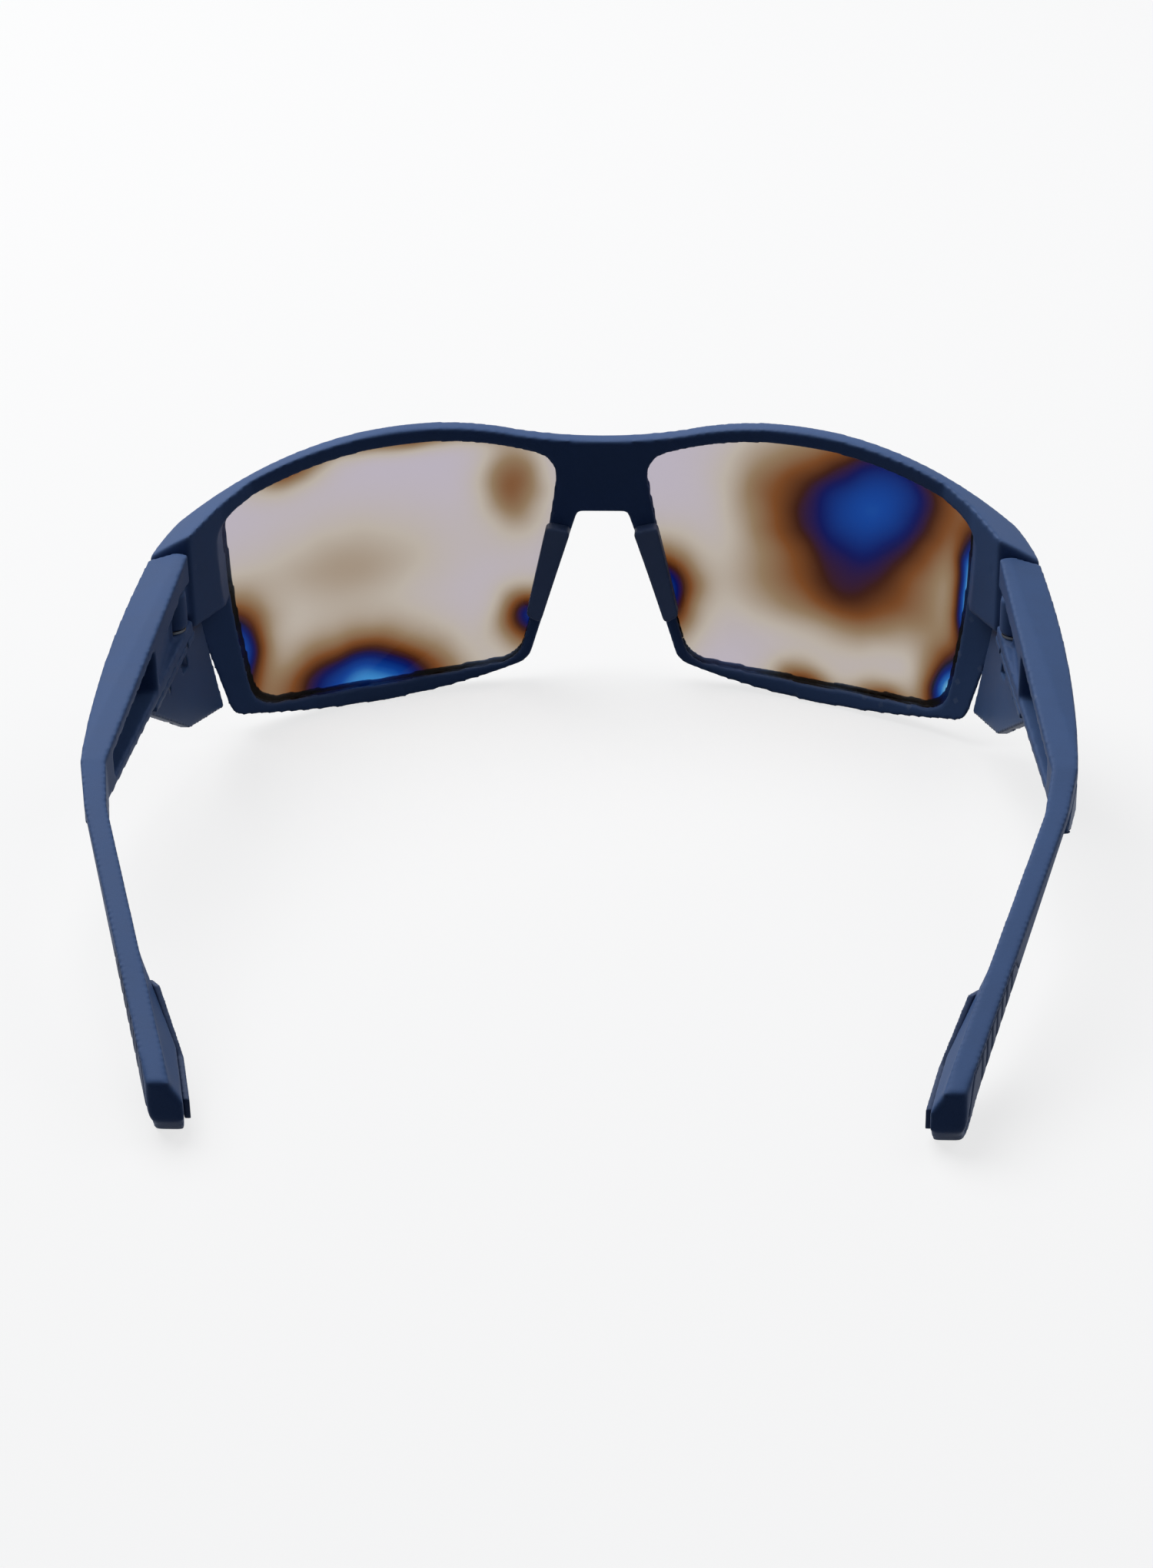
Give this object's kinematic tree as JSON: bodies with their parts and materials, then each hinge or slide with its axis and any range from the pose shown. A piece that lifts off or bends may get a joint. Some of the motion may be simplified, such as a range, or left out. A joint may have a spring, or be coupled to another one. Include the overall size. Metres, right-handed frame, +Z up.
{
  "type": "wraparound sport sunglasses",
  "caption": "Wraparound sport sunglasses with a moulded full-rim front, curved tinted lenses, nose pads, hinged temples, side shields and rubber tip grips",
  "frame": {"origin": "on the table under the middle of the part, arms open", "axes": "+X the wearer's left, +Y back towards the ears, +Z up"},
  "size_m": [0.147, 0.1525, 0.0475],
  "materials": {
    "frame_navy": "soft matte, fine moulded speckle",
    "panel_navy": "satin matte",
    "lens_tint": "polished polarised tint",
    "pad_rubber": "soft matte",
    "grip_rubber": "soft matte",
    "stud_plastic": "satin",
    "screw_steel": "satin",
    "insert_brass": "satin",
    "washer_steel": "satin"
  },
  "bodies": {
    "front": {"front_frame": "frame_navy", "lens_left": "lens_tint", "lens_right": "lens_tint", "nose_pad_left": "pad_rubber", "nose_pad_right": "pad_rubber"},
    "left_arm": {"temple_left": "frame_navy", "side_panel_left": "panel_navy", "panel_stud_left": "stud_plastic", "hinge_screw_left": "screw_steel", "hinge_insert_left": "insert_brass", "hinge_washer_left": "washer_steel", "tip_grip_left": "grip_rubber", "tip_pad_left": "pad_rubber"},
    "right_arm": {"temple_right": "frame_navy", "side_panel_right": "panel_navy", "panel_stud_right": "stud_plastic", "hinge_screw_right": "screw_steel", "hinge_insert_right": "insert_brass", "hinge_washer_right": "washer_steel", "tip_grip_right": "grip_rubber", "tip_pad_right": "pad_rubber"}
  },
  "joints": [
    {"name": "left_hinge", "type": "hinge", "parent": "front", "child": "left_arm", "pos_m": [0.0669, -0.03205, 0.0295], "axis": [0, 0, 1], "range_deg": [0, 92]},
    {"name": "right_hinge", "type": "hinge", "parent": "front", "child": "right_arm", "pos_m": [-0.0669, -0.03205, 0.0295], "axis": [0, 0, -1], "range_deg": [0, 77]}
  ]
}
